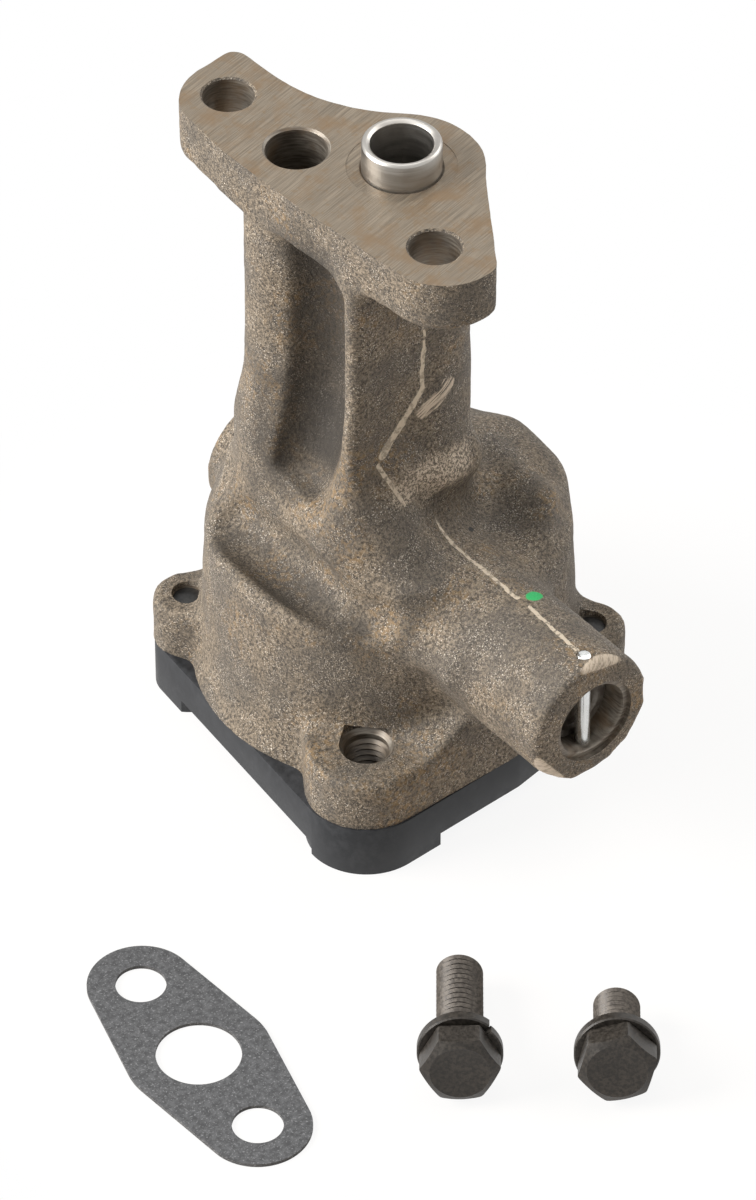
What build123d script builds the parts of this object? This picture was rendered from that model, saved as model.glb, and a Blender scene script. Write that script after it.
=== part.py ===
from build123d import *
from math import asin, atan2, cos, degrees, pi, radians, sin, sqrt
import os

# Gerotor engine oil pump, in millimetres. It stands on its cover plate. The origin is on the
# mounting face, at the drive shaft's axis, with +Z up and the relief tube along -Y.
# Heights are given above the ground and turned into Z by level().

# Cover plate
pad_step = 3.2  # height of the pads under the plate
plate_thickness = 9.1
cover_top = pad_step + plate_thickness
bolt_square = 59.9  # spacing of the four corner holes
corner_radius = 7.2  # plate edge round a corner hole
front_corner_radius = 13.4
front_side_bulge = 42.3  # reach of the plate's front side from the drum's centre
pad_radius = 11.0

# Gerotor
rotor_height = 19.05
rotor_offset = 2.5  # eccentricity
rotor_side = 139.5  # direction of the outer rotor's axis from the shaft
outer_teeth = 5
tooth_circle = 29.0
tooth_radius = 10.5
outer_rotor_radius = 32.4
outer_running_gap = 0.08
end_gap = 0.04
mesh_gap = 0.06

# Drive shaft
shaft_radius = 6.0
shaft_gap = 0.05
shaft_top = 108.0
hex_width = 7.94
hex_depth = 24.0
rotor_pin_radius = 2.0

# Locating sleeve in the flange
sleeve_outer = 8.1
sleeve_inner = 6.4
sleeve_length = 26.0
sleeve_proud = 6.3
sleeve_chamfer = 0.8

# Drum of the casting
drum_foot_radius = 41.6
drum_foot_height = 8.0
drum_lower_radius = 39.4
drum_radius = 38.2
drum_shoulder = 50.0  # height where the wall turns in
drum_top = 54.0
drum_rim_radius = 34.4

# Crown over the ports: a low saddle along the relief tube
crown_radius = 33.6
crown_rise = 3.6  # ridge over the drum's top
crown_left_reach = 28.0
crown_left_fall = 8.6  # how far the saddle's sides fall from its ridge
crown_left_top = 16.0
crown_left_top_fall = 4.1
crown_right_reach = 31.0
crown_right_fall = 7.1
crown_edge = 25.5
crown_edge_width = 5.0
crown_edge_fall = 1.5
crown_tube_fall = 0.5
crown_valley_fall = 2.0
crown_valley_x = 5.0
crown_depth = 4.0  # how far the saddle reaches into the drum

# Skirt that spreads the columns into the drum, most of all at the front left
skirt_front_x = -17.6
skirt_front_y = -8.0
skirt_front_radius = 15.8
skirt_side_x = -14.5
skirt_side_y = 9.0
skirt_side_radius = 16.0
skirt_drive_x = -3.0
skirt_drive_y = -7.0
skirt_drive_radius = 17.6
skirt_foot = 46.0
skirt_top = 88.0
skirt_lean = 12.8  # how far its sides come in on the way up

# Swelling of the drive column towards the relief tube
mound_foot = 52.0
mound_foot_x = -1.5
mound_foot_y = -9.5
mound_middle = 83.0
mound_middle_x = -2.6
mound_middle_y = -3.6
mound_radius = 13.6
mound_top = 103.0

# Ears
ear_top = 24.0
ear_radius = 7.4
front_ear_radius = 12.9
ear_root_radius = 19.0
cover_screw_radius = 3.1
cover_thread_radius = 3.175
cover_head_radius = 4.75
cover_head_height = 6.35
cover_counterbore = 5.15
cover_counterbore_depth = 6.8
cover_screw_length = 15.9

# Columns and flange, which is turned a little against the drum
flange_top = 142.2
flange_thickness = 12.0
flange_turn = 1.8
outlet_x = -12.2
outlet_y = 18.0
outlet_bore = 6.38
outlet_column_radius = 10.8
outlet_root_radius = 13.8
outlet_root_foot = 40.0
outlet_root_top = 72.0
outlet_flare_top = 88.0
drive_column_radius = 13.9
flange_bolt_x = -11.5
flange_bolt_y = 40.1
flange_bolt_spacing = 63.5
flange_bolt_hole = 5.32
flange_lobe = 10.9
flange_left = -24.0
drive_lobe = 16.8
bolt_relief_face = -13.4  # flat face that leaves room for the front flange bolt
mound_floor = 74.0  # where that room ends

# Relief valve
relief_x = -4.0
relief_height = 43.0
relief_tube_radius = 14.7
relief_tube_shift_x = -0.9  # the cast tube stands a little off its bored hole
relief_tube_shift_z = 0.8
relief_mouth = -67.6
relief_back = 41.4
relief_back_chamfer = 1.5
relief_bore = 7.94
relief_bore_end = -17.0
relief_rim_bore = 9.5
relief_rim_depth = 1.0
relief_rim_round = 1.8
relief_pin_radius = 1.59
relief_pin_inset = 4.0  # pin axis to the tube's mouth
plug_length = 5.0
plug_wall = 1.4
piston_length = 17.0
piston_wall = 2.2
piston_crown = 3.0
piston_gap = 0.04
spring_wire_diameter = 1.5
spring_radius = 4.6
spring_turns = 7
return_port_radius = 3.0

# Pickup joint: two 3/8 in bolts, and the inlet between them
pickup_spacing = 46.2
pickup_bolt_radius = 4.76
inlet_radius = 8.7
short_thread_depth = 9.5

# Pickup gasket, lying in front of the pump
gasket_x = -99.1
gasket_y = -58.6
gasket_turn = 82.8
gasket_thickness = 0.8
gasket_end_radius = 11.0
gasket_middle_radius = 15.0
gasket_bolt_hole = 5.2

# Loose pickup bolts, lying in front of the pump
long_bolt_length = 28.6
short_bolt_length = 19.05
bolt_head_width = 14.3
bolt_head_height = 6.2
bolt_end_chamfer = 1.2
washer_outer_radius = 8.65
washer_inner_radius = 4.9
washer_thickness = 2.4
washer_slit_width = 1.2
long_bolt_x = -63.2
long_bolt_y = -97.4
long_bolt_turn = 50.9
short_bolt_x = -38.8
short_bolt_y = -117.0
short_bolt_turn = 50.0

crown_top = drum_top + crown_rise
crown_foot = crown_top - crown_left_fall - crown_depth
drum_x = rotor_offset * cos(radians(rotor_side))
drum_y = rotor_offset * sin(radians(rotor_side))
half_square = bolt_square / 2
front_hole = (drum_x - half_square, drum_y - half_square)
left_hole = (drum_x - half_square, drum_y + half_square)
right_hole = (drum_x + half_square, drum_y - half_square)
back_hole = (drum_x + half_square, drum_y + half_square)
screw_holes = [left_hole, right_hole, back_hole]
pickup_step = pickup_spacing / 2 / sqrt(2)
inlet_spot = (front_hole[0] + pickup_step, front_hole[1] + pickup_step)
short_hole = (front_hole[0] + 2 * pickup_step, front_hole[1] + 2 * pickup_step)
pocket_top = cover_top + rotor_height + end_gap
flange_bottom = flange_top - flange_thickness
flange_back_hole = (flange_bolt_x, flange_bolt_y)
flange_front_hole = (flange_bolt_x, flange_bolt_y - flange_bolt_spacing)
sleeve_bottom = flange_top + sleeve_proud - sleeve_length
relief_pin_y = relief_mouth + relief_pin_inset
plug_outer_y = relief_pin_y + relief_pin_radius
plug_inner_y = plug_outer_y + plug_length
piston_front_y = relief_bore_end - 1.0
ground = -flange_top
relief_z = relief_height - flange_top
turn = radians(flange_turn)
outlet_row_x = outlet_x * cos(turn) - outlet_y * sin(turn)
outlet_row_y = outlet_x * sin(turn) + outlet_y * cos(turn)
tube_x = relief_x + relief_tube_shift_x
tube_z = relief_z + relief_tube_shift_z
tube_bottom = relief_height + relief_tube_shift_z - relief_tube_radius

os.makedirs("parts", exist_ok=True)


def finish(piece, name):
    piece.part.label = name
    export_step(piece.part, "parts/" + name + ".step")


def level(height):
    return Plane.XY.offset(height - flange_top)


def flange_plane(height):
    return level(height).rotated((0, 0, flange_turn))


def drum_level(height):
    return level(height).move(Location((drum_x, drum_y, 0)))


def along_tube(y):
    # plane across the relief tube, its x along +X and its y along +Z
    return Plane(origin=(relief_x, y, relief_z), x_dir=(1, 0, 0), z_dir=(0, -1, 0))


def drum_section():
    # vertical plane through the drum's axis, its x along +X and its y along +Z
    return Plane(origin=(drum_x, drum_y, ground), x_dir=(1, 0, 0), z_dir=(0, -1, 0))


def tube_section():
    # plane that holds the cast tube's axis, its x along -Y and its y along +Z
    return Plane(origin=(tube_x, 0, tube_z), x_dir=(0, -1, 0), z_dir=(-1, 0, 0))


def outlet_section():
    # vertical plane through the outlet bore's axis, its x along +X and its y along +Z
    return Plane(origin=(outlet_row_x, outlet_row_y, ground), x_dir=(1, 0, 0), z_dir=(0, -1, 0))


def across_pump(y):
    # plane across the tube at the ground, its x along +X and its y along +Z
    return Plane(origin=(0, y, ground), x_dir=(1, 0, 0), z_dir=(0, -1, 0))


def kidney(inner, outer, middle, half_angle):
    # crescent port between two radii about the drum's axis, with square ends
    first = radians(middle - half_angle)
    last = radians(middle + half_angle)
    centre = radians(middle)
    with BuildSketch() as port:
        with BuildLine():
            ThreePointArc(
                (outer * cos(first), outer * sin(first)),
                (outer * cos(centre), outer * sin(centre)),
                (outer * cos(last), outer * sin(last)),
            )
            Line((outer * cos(last), outer * sin(last)), (inner * cos(last), inner * sin(last)))
            ThreePointArc(
                (inner * cos(last), inner * sin(last)),
                (inner * cos(centre), inner * sin(centre)),
                (inner * cos(first), inner * sin(first)),
            )
            Line((inner * cos(first), inner * sin(first)), (outer * cos(first), outer * sin(first)))
        make_face()
    return port.sketch


# ---- cover plate -------------------------------------------------------------------------
with BuildSketch() as plate_outline:
    with Locations(front_hole):
        Circle(front_corner_radius)
    with Locations(*screw_holes):
        Circle(corner_radius)
    with Locations((drum_x, drum_y - front_side_bulge + corner_radius)):
        Circle(corner_radius)
    make_hull()

with BuildSketch() as pickup_boss:
    with Locations(front_hole, short_hole):
        Circle(gasket_end_radius + 1.7)
    with Locations(inlet_spot):
        Circle(gasket_middle_radius + 1.7)
    make_hull()

pad_left_reach = 1.5  # where the front pad leaves the plate's sides, from the corner hole
pad_front_reach = 9.2
with BuildSketch() as pad_outline:
    with Locations(*screw_holes):
        Circle(pad_radius)
    with BuildLine():
        Polyline(
            (front_hole[0] - 2 * front_corner_radius, front_hole[1] + pad_left_reach),
            (front_hole[0] - front_corner_radius + 1, front_hole[1] + pad_left_reach),
            (front_hole[0] + pad_front_reach, front_hole[1] - front_corner_radius + 1),
            (front_hole[0] + pad_front_reach, front_hole[1] - 2 * front_corner_radius),
            (front_hole[0] - 2 * front_corner_radius, front_hole[1] - 2 * front_corner_radius),
            close=True,
        )
    make_face()
    add(pickup_boss.sketch)
    add(plate_outline.sketch, mode=Mode.INTERSECT)

port_inner = tooth_circle - tooth_radius - rotor_offset
port_outer = tooth_circle - tooth_radius + rotor_offset + 1.5
port_half_angle = 54.0
inlet_side = rotor_side + 90
outlet_side = rotor_side - 90
port_depth = 3.0
port_roof = 2.6  # depth of the ports in the pocket's ceiling
outlet_web = 3.0  # ceiling left under the passage to the outlet bore
outlet_passage_height = 9.0
outlet_passage_middle = 84.0
outlet_passage_half_angle = 40.0
inlet_port = kidney(port_inner, port_outer, inlet_side, port_half_angle)
outlet_port = kidney(port_inner, port_outer, outlet_side, port_half_angle)
outlet_passage = kidney(
    port_inner, port_outer, outlet_passage_middle, outlet_passage_half_angle
)

with BuildPart() as cover_plate:
    with BuildSketch(level(pad_step)):
        add(plate_outline.sketch)
    extrude(amount=plate_thickness)
    with BuildSketch(level(0)):
        add(pad_outline.sketch)
    extrude(amount=pad_step)
    with BuildSketch(drum_level(cover_top - port_depth)):
        add(inlet_port)
        add(outlet_port)
    extrude(amount=port_depth, mode=Mode.SUBTRACT)
    with BuildSketch(level(0)):
        with Locations(*screw_holes):
            Circle(cover_thread_radius + 0.15)
        with Locations(front_hole):
            Circle(gasket_bolt_hole)
        with Locations(inlet_spot):
            Circle(inlet_radius)
    extrude(amount=cover_top, mode=Mode.SUBTRACT)
    with BuildSketch(level(0)):
        with Locations(*screw_holes):
            Circle(cover_counterbore)
    extrude(amount=cover_counterbore_depth, mode=Mode.SUBTRACT)
    with BuildSketch(level(0)):
        with Locations(short_hole):
            Circle(pickup_bolt_radius)
    extrude(amount=short_thread_depth, mode=Mode.SUBTRACT)
finish(cover_plate, "cover_plate")

# ---- cover screws ------------------------------------------------------------------------
screw_seat = cover_counterbore_depth
screw_socket_width = 4.76
screw_socket_depth = 3.0
with BuildPart() as cover_screws:
    with BuildSketch(level(screw_seat)):
        with Locations(*screw_holes):
            Circle(cover_screw_radius)
    extrude(amount=cover_screw_length)
    with BuildSketch(level(screw_seat - cover_head_height)):
        with Locations(*screw_holes):
            Circle(cover_head_radius)
    extrude(amount=cover_head_height)
    with BuildSketch(level(screw_seat - cover_head_height)):
        with Locations(*screw_holes):
            RegularPolygon(screw_socket_width / 2, 6, major_radius=False)
    extrude(amount=screw_socket_depth, mode=Mode.SUBTRACT)
finish(cover_screws, "cover_screws")

# ---- pump body ---------------------------------------------------------------------------
column_foot = 50.0
front_left = (flange_left + 1.7, flange_front_hole[1])
middle_left = (flange_left, 4.0)
back_left = (flange_left, flange_back_hole[1] - 13)
back_shoulder = (flange_left + 1.8, flange_back_hole[1] + 1.5)
back_crown = (flange_bolt_x + 2.0, flange_bolt_y + 10.0)
back_corner = (flange_bolt_x + 9.0, flange_bolt_y + 10.8)
back_tip = (flange_bolt_x + flange_lobe - 0.1, flange_bolt_y + 8.8)
back_waist = (flange_bolt_x + flange_lobe, flange_bolt_y - 2.1)
waist = (3.1, 23.5)
front_tip = (flange_bolt_x + 5.2, flange_front_hole[1] - 12.6)
front_crown = (flange_bolt_x - 8.0, flange_front_hole[1] - 8.9)
drive_right = (10.7, -12.95)
drive_left = (11.9, 11.85)

with BuildSketch() as flange_outline:
    with BuildLine():
        Polyline(front_left, middle_left, back_left, back_shoulder)
        ThreePointArc(
            back_shoulder, (flange_bolt_x - 6.6, flange_bolt_y + 7.2), back_crown
        )
        Polyline(back_crown, back_corner, back_tip, back_waist)
        ThreePointArc(back_waist, waist, drive_left)
        ThreePointArc(drive_left, (drive_lobe, 0), drive_right)
        Line(drive_right, front_tip)
        ThreePointArc(front_tip, front_crown, front_left)
    make_face()

web_left = -18.5
rib_thickness = 7.0
rib_round = 2.6
groove_round = 3.0
with BuildSketch() as column_section:
    Circle(drive_column_radius)
    with Locations((outlet_x, outlet_y)):
        Circle(outlet_column_radius)
    with BuildLine():
        Polyline(
            (web_left, bolt_relief_face + rib_thickness / 2),
            (0, bolt_relief_face + rib_thickness / 2),
            (-1, outlet_y),
            (web_left, outlet_y),
            close=True,
        )
    make_face()
    with Locations((flange_left / 2, bolt_relief_face + rib_thickness / 2)):
        RectangleRounded(-flange_left, rib_thickness, rib_round)
    offset(amount=groove_round, kind=Kind.ARC)
    offset(amount=-groove_round, kind=Kind.ARC)

with BuildPart() as skirt:
    for skirt_height, skirt_inset in ((skirt_foot, 0), (skirt_top, skirt_lean)):
        with BuildSketch(level(skirt_height)):
            with Locations((skirt_front_x, skirt_front_y)):
                Circle(skirt_front_radius - skirt_inset)
            with Locations((skirt_side_x, skirt_side_y)):
                Circle(skirt_side_radius - skirt_inset)
            with Locations((skirt_drive_x, skirt_drive_y)):
                Circle(skirt_drive_radius - skirt_inset)
            make_hull()
    loft(ruled=True)
    with BuildSketch(flange_plane(mound_floor)):
        with Locations((-2 * mound_floor, bolt_relief_face)):
            Rectangle(4 * mound_floor, mound_floor, align=(Align.MIN, Align.MAX))
    extrude(amount=skirt_top, mode=Mode.SUBTRACT)

with BuildPart() as mound:
    with BuildSketch(level(mound_foot)):
        with Locations((mound_foot_x, mound_foot_y)):
            Circle(mound_radius)
    with BuildSketch(level(mound_middle)):
        with Locations((mound_middle_x, mound_middle_y)):
            Circle(mound_radius)
    with BuildSketch(level(mound_top)):
        Circle(drive_column_radius - 1)
    loft(ruled=True)

with BuildPart() as crown:
    with BuildSketch(across_pump(crown_radius)):
        with BuildLine():
            Polyline(
                (drum_x - crown_left_reach, crown_foot),
                (drum_x - crown_left_reach, crown_top - crown_left_fall),
                (-crown_left_top, crown_top - crown_left_top_fall),
                (relief_x, crown_top - crown_tube_fall),
                (crown_valley_x, crown_top - crown_valley_fall),
                (crown_edge - crown_edge_width, crown_top),
                (crown_edge, crown_top - crown_edge_fall),
                (crown_right_reach, crown_top - crown_right_fall),
                (crown_right_reach, crown_foot),
                close=True,
            )
        make_face()
    extrude(amount=2 * crown_radius)
    with BuildSketch(drum_level(0)):
        Circle(crown_radius)
    extrude(amount=flange_top, mode=Mode.INTERSECT)

with BuildPart() as outlet_root:
    with BuildSketch(outlet_section()):
        with BuildLine():
            Polyline(
                (0, outlet_root_foot),
                (outlet_root_radius, outlet_root_foot),
                (outlet_root_radius, outlet_root_top),
                (outlet_column_radius - 0.4, outlet_flare_top + 1),
                (0, outlet_flare_top + 1),
                close=True,
            )
        make_face()
    revolve(axis=Axis((outlet_row_x, outlet_row_y, 0), (0, 0, 1)))

web_height = 36.0  # where the foot's web meets the relief tube
web_reach = 4.0
with BuildPart() as web:
    # the foot under the relief tube rises from the front ear
    with BuildSketch(across_pump(0)):
        with BuildLine():
            Polyline(
                (front_hole[0] - front_ear_radius, cover_top),
                (front_hole[0] - front_ear_radius, ear_top),
                (front_hole[0] + pickup_bolt_radius + 1, ear_top),
                (relief_x, web_height),
                (web_reach, web_height),
                (web_reach + 12, cover_top),
                close=True,
            )
        make_face()
    extrude(amount=front_side_bulge)
    with BuildSketch(level(0)):
        with Locations(front_hole):
            Circle(front_ear_radius)
        with Locations((drum_x, drum_y - front_side_bulge + ear_radius)):
            Circle(ear_radius)
        with Locations((drum_x, drum_y)):
            Circle(ear_root_radius)
        make_hull()
    extrude(amount=flange_top, mode=Mode.INTERSECT)

with BuildPart() as pump_body:
    # drum with its spread foot, drafted wall and rounded shoulder
    with BuildSketch(drum_section()):
        with BuildLine():
            Line((0, cover_top), (drum_foot_radius, cover_top))
            foot = TangentArc(
                (drum_lower_radius, cover_top + drum_foot_height),
                (drum_foot_radius, cover_top),
                tangent=(0.04, -1),
            )
            Line((drum_lower_radius, cover_top + drum_foot_height), (drum_radius, drum_shoulder))
            shoulder = TangentArc(
                (drum_radius, drum_shoulder), (drum_rim_radius, drum_top), tangent=(-0.04, 1)
            )
            Line((drum_rim_radius, drum_top), (0, drum_top + 1))
            Line((0, drum_top + 1), (0, cover_top))
        make_face()
    revolve(axis=Axis((drum_x, drum_y, 0), (0, 0, 1)))
    # ears
    for hole, radius in [
        (left_hole, ear_radius),
        (right_hole, ear_radius),
        (back_hole, ear_radius),
        (front_hole, front_ear_radius),
    ]:
        with BuildSketch(level(cover_top)):
            with Locations(hole):
                Circle(radius)
            with Locations((drum_x, drum_y)):
                Circle(ear_root_radius)
            make_hull()
        extrude(amount=ear_top - cover_top)
    add(outlet_root.part)
    add(web.part)
    # relief tube
    tube_mouth = -relief_mouth
    with BuildSketch(tube_section()):
        with BuildLine():
            Polyline(
                (-relief_back, 0),
                (-relief_back, relief_tube_radius - relief_back_chamfer),
                (relief_back_chamfer - relief_back, relief_tube_radius),
                (tube_mouth - relief_rim_round, relief_tube_radius),
            )
            RadiusArc(
                (tube_mouth - relief_rim_round, relief_tube_radius),
                (tube_mouth, relief_tube_radius - relief_rim_round),
                relief_rim_round,
            )
            Line((tube_mouth, relief_tube_radius - relief_rim_round), (tube_mouth, 0))
            Line((tube_mouth, 0), (-relief_back, 0))
        make_face()
    revolve(axis=Axis((tube_x, 0, tube_z), (0, -1, 0)))
    add(crown.part)
    add(skirt.part)
    add(mound.part)
    # columns and flange
    with BuildSketch(flange_plane(column_foot)):
        add(column_section.sketch)
    extrude(amount=flange_bottom - column_foot + 1)
    with BuildSketch(flange_plane(flange_bottom)):
        add(flange_outline.sketch)
    extrude(amount=flange_thickness)
    # rotor pocket and ports
    with BuildSketch(drum_level(cover_top)):
        Circle(outer_rotor_radius + outer_running_gap)
    extrude(amount=pocket_top - cover_top, mode=Mode.SUBTRACT)
    with BuildSketch(drum_level(pocket_top)):
        add(inlet_port)
        add(outlet_port)
    extrude(amount=port_roof, mode=Mode.SUBTRACT)
    with BuildSketch(drum_level(pocket_top + outlet_web)):
        add(outlet_passage)
    extrude(amount=outlet_passage_height, mode=Mode.SUBTRACT)
    with BuildSketch(drum_level(pocket_top)):
        add(outlet_port)
        add(outlet_passage, mode=Mode.INTERSECT)
    extrude(amount=outlet_web, mode=Mode.SUBTRACT)
    # shaft bore, sleeve seat and outlet bore
    with BuildSketch(level(pocket_top - 1)):
        Circle(shaft_radius + shaft_gap)
    extrude(amount=flange_top - pocket_top + 1, mode=Mode.SUBTRACT)
    with BuildSketch(level(sleeve_bottom)):
        Circle(sleeve_outer)
    extrude(amount=flange_top - sleeve_bottom, mode=Mode.SUBTRACT)
    with BuildSketch(flange_plane(pocket_top + outlet_web)):
        with Locations((outlet_x, outlet_y)):
            Circle(outlet_bore)
    extrude(amount=flange_top - pocket_top - outlet_web, mode=Mode.SUBTRACT)
    with BuildSketch(flange_plane(flange_bottom)):
        with Locations(flange_back_hole, flange_front_hole):
            Circle(flange_bolt_hole)
    extrude(amount=flange_thickness, mode=Mode.SUBTRACT)
    # spot face round the sleeve
    with BuildSketch(level(flange_top - 0.3)):
        with Locations((0.3, -0.3)):
            Circle(11.8)
    extrude(amount=0.3, mode=Mode.SUBTRACT)
    # ear holes
    with BuildSketch(level(cover_top)):
        with Locations(*screw_holes):
            Circle(cover_thread_radius)
        with Locations(front_hole):
            Circle(pickup_bolt_radius)
    extrude(amount=ear_top - cover_top, mode=Mode.SUBTRACT)
    # relief bore, rim, return port and pin hole
    with BuildSketch(along_tube(relief_bore_end)):
        Circle(relief_bore)
    extrude(amount=relief_bore_end - relief_mouth, mode=Mode.SUBTRACT)
    with BuildSketch(along_tube(relief_mouth + relief_rim_depth)):
        Circle(relief_rim_bore)
    extrude(amount=relief_rim_depth, mode=Mode.SUBTRACT)
    with BuildSketch(level(pocket_top)):
        with Locations((relief_x, relief_bore_end - 4.5)):
            Circle(return_port_radius)
    extrude(amount=relief_height - pocket_top, mode=Mode.SUBTRACT)
    with BuildSketch(level(tube_bottom)):
        with Locations((relief_x, relief_pin_y)):
            Circle(relief_pin_radius)
    extrude(amount=2 * relief_tube_radius, mode=Mode.SUBTRACT)
finish(pump_body, "pump_body")

# ---- locating sleeve ---------------------------------------------------------------------
with BuildPart() as locating_sleeve:
    with BuildSketch(level(sleeve_bottom)):
        Circle(sleeve_outer)
        Circle(sleeve_inner, mode=Mode.SUBTRACT)
    extrude(amount=sleeve_length)
    chamfer(locating_sleeve.edges().group_by(Axis.Z)[-1], sleeve_chamfer)
finish(locating_sleeve, "locating_sleeve")

# ---- drive shaft and rotors --------------------------------------------------------------
rotor_middle = cover_top + rotor_height / 2
shaft_foot = cover_top + end_gap
rotor_pin_length = 24.0
with BuildPart() as drive_shaft:
    with BuildSketch(level(shaft_foot)):
        Circle(shaft_radius)
    extrude(amount=shaft_top - shaft_foot)
    chamfer(drive_shaft.edges().group_by(Axis.Z)[-1], 0.8)
    with BuildSketch(level(shaft_top - hex_depth)):
        RegularPolygon(hex_width / 2, 6, major_radius=False)
    extrude(amount=hex_depth, mode=Mode.SUBTRACT)
    with BuildSketch(Plane.XZ.offset(-shaft_radius)):
        with Locations((0, rotor_middle - flange_top)):
            Circle(rotor_pin_radius)
    extrude(amount=2 * shaft_radius, mode=Mode.SUBTRACT)
finish(drive_shaft, "drive_shaft")

with BuildPart() as rotor_pin:
    with BuildSketch(Plane.XZ.offset(-rotor_pin_length / 2)):
        with Locations((0, rotor_middle - flange_top)):
            Circle(rotor_pin_radius)
    extrude(amount=rotor_pin_length)
finish(rotor_pin, "rotor_pin")


def rotor_profile(step):
    # point of the inner rotor's outline: the curve that rolls inside the ring's round teeth
    turn = 2 * pi * step
    reach = tooth_circle / (rotor_offset * outer_teeth)
    lean = atan2(sin((1 - outer_teeth) * turn), reach - cos((1 - outer_teeth) * turn))
    radius = tooth_radius + mesh_gap
    x = tooth_circle * cos(turn) - radius * cos(turn + lean) - rotor_offset * cos(outer_teeth * turn)
    y = -tooth_circle * sin(turn) + radius * sin(turn + lean) + rotor_offset * sin(outer_teeth * turn)
    return (x, y)


profile_steps = 96
with BuildPart() as inner_rotor:
    with BuildSketch(level(cover_top + end_gap / 2).rotated((0, 0, rotor_side + 180))):
        with BuildLine():
            Spline([rotor_profile(k / profile_steps) for k in range(profile_steps)], periodic=True)
        make_face()
        Circle(shaft_radius, mode=Mode.SUBTRACT)
    extrude(amount=rotor_height)
    with BuildSketch(Plane.XZ.offset(-rotor_pin_length / 2)):
        with Locations((0, rotor_middle - flange_top)):
            Circle(rotor_pin_radius)
    extrude(amount=rotor_pin_length, mode=Mode.SUBTRACT)
finish(inner_rotor, "inner_rotor")

ring_root = tooth_circle - tooth_radius + 2 * rotor_offset + mesh_gap
with BuildPart() as outer_rotor:
    with BuildSketch(drum_level(cover_top + end_gap / 2)):
        Circle(outer_rotor_radius)
        Circle(ring_root, mode=Mode.SUBTRACT)
        with PolarLocations(tooth_circle, outer_teeth, start_angle=rotor_side + 180):
            Circle(tooth_radius)
        Circle(outer_rotor_radius, mode=Mode.INTERSECT)
    extrude(amount=rotor_height)
finish(outer_rotor, "outer_rotor")

# ---- relief valve ------------------------------------------------------------------------
with BuildPart() as relief_piston:
    with BuildSketch(along_tube(piston_front_y)):
        Circle(relief_bore - piston_gap)
    extrude(amount=piston_length)
    with BuildSketch(along_tube(piston_front_y - piston_crown)):
        Circle(relief_bore - piston_wall)
    extrude(amount=piston_length - piston_crown, mode=Mode.SUBTRACT)
finish(relief_piston, "relief_piston")

with BuildPart() as relief_plug:
    with BuildSketch(along_tube(plug_inner_y)):
        Circle(relief_bore - piston_gap)
    extrude(amount=plug_length)
    with BuildSketch(along_tube(plug_inner_y)):
        Circle(relief_bore - piston_wall)
    extrude(amount=plug_length - plug_wall, mode=Mode.SUBTRACT)
finish(relief_plug, "relief_plug")

spring_back_y = plug_outer_y + plug_wall
spring_front_y = piston_front_y - piston_crown
spring_length = spring_front_y - spring_back_y
spring_pitch = (spring_length - spring_wire_diameter) / spring_turns
with BuildPart() as relief_spring:
    with BuildLine():
        coil = Helix(
            spring_pitch,
            spring_pitch * spring_turns,
            spring_radius,
            center=(relief_x, spring_front_y - spring_wire_diameter / 2, relief_z),
            direction=(0, -1, 0),
        )
    with BuildSketch(Plane(origin=coil @ 0, z_dir=coil % 0)):
        Circle(spring_wire_diameter / 2)
    sweep()
finish(relief_spring, "relief_spring")

with BuildPart() as relief_pin:
    with BuildSketch(level(tube_bottom)):
        with Locations((relief_x, relief_pin_y)):
            Circle(relief_pin_radius)
    extrude(amount=2 * relief_tube_radius)
finish(relief_pin, "relief_pin")

# ---- pickup gasket -----------------------------------------------------------------------
with BuildPart() as pickup_gasket:
    with BuildSketch(Plane(origin=(gasket_x, gasket_y, ground)).rotated((0, 0, gasket_turn))):
        with Locations((-pickup_spacing / 2, 0), (pickup_spacing / 2, 0)):
            Circle(gasket_end_radius)
        Circle(gasket_middle_radius)
        make_hull()
        with Locations((-pickup_spacing / 2, 0), (pickup_spacing / 2, 0)):
            Circle(gasket_bolt_hole, mode=Mode.SUBTRACT)
        Circle(inlet_radius, mode=Mode.SUBTRACT)
    extrude(amount=gasket_thickness)
finish(pickup_gasket, "pickup_gasket")


# ---- loose pickup bolts ------------------------------------------------------------------
def lying_plane(x, y, turn, length):
    # a bolt lies on its washer's edge and its tip; z runs from the head to the tip
    droop = asin((washer_outer_radius - pickup_bolt_radius) / length)
    direction = (cos(radians(turn)) * cos(droop), sin(radians(turn)) * cos(droop), -sin(droop))
    side = (-sin(radians(turn)), cos(radians(turn)), 0)
    return Plane(origin=(x, y, ground + washer_outer_radius * cos(droop)), x_dir=side, z_dir=direction)


def make_bolt(place, length, name):
    with BuildPart() as bolt:
        with BuildSketch(place):
            RegularPolygon(bolt_head_width / 2, 6, major_radius=False)
        extrude(amount=-bolt_head_height)
        with BuildSketch(place):
            Circle(pickup_bolt_radius)
        extrude(amount=length)
    tip = bolt.faces().filter_by(GeomType.PLANE).filter_by(lambda f: f.normal_at().dot(place.z_dir) > 0.99)
    with bolt:
        chamfer(tip.sort_by(Axis(place.origin, place.z_dir))[-1].edges(), bolt_end_chamfer)
    finish(bolt, name)


def make_washer(place, name):
    with BuildPart() as washer:
        with BuildSketch(place):
            Circle(washer_outer_radius)
            Circle(washer_inner_radius, mode=Mode.SUBTRACT)
            with Locations((washer_outer_radius, 0)):
                Rectangle(washer_outer_radius, washer_slit_width, mode=Mode.SUBTRACT)
        extrude(amount=washer_thickness)
    finish(washer, name)


long_place = lying_plane(long_bolt_x, long_bolt_y, long_bolt_turn, long_bolt_length)
short_place = lying_plane(short_bolt_x, short_bolt_y, short_bolt_turn, short_bolt_length)
make_bolt(long_place, long_bolt_length, "long_bolt")
make_washer(long_place, "long_bolt_washer")
make_bolt(short_place, short_bolt_length, "short_bolt")
make_washer(short_place, "short_bolt_washer")
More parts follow.
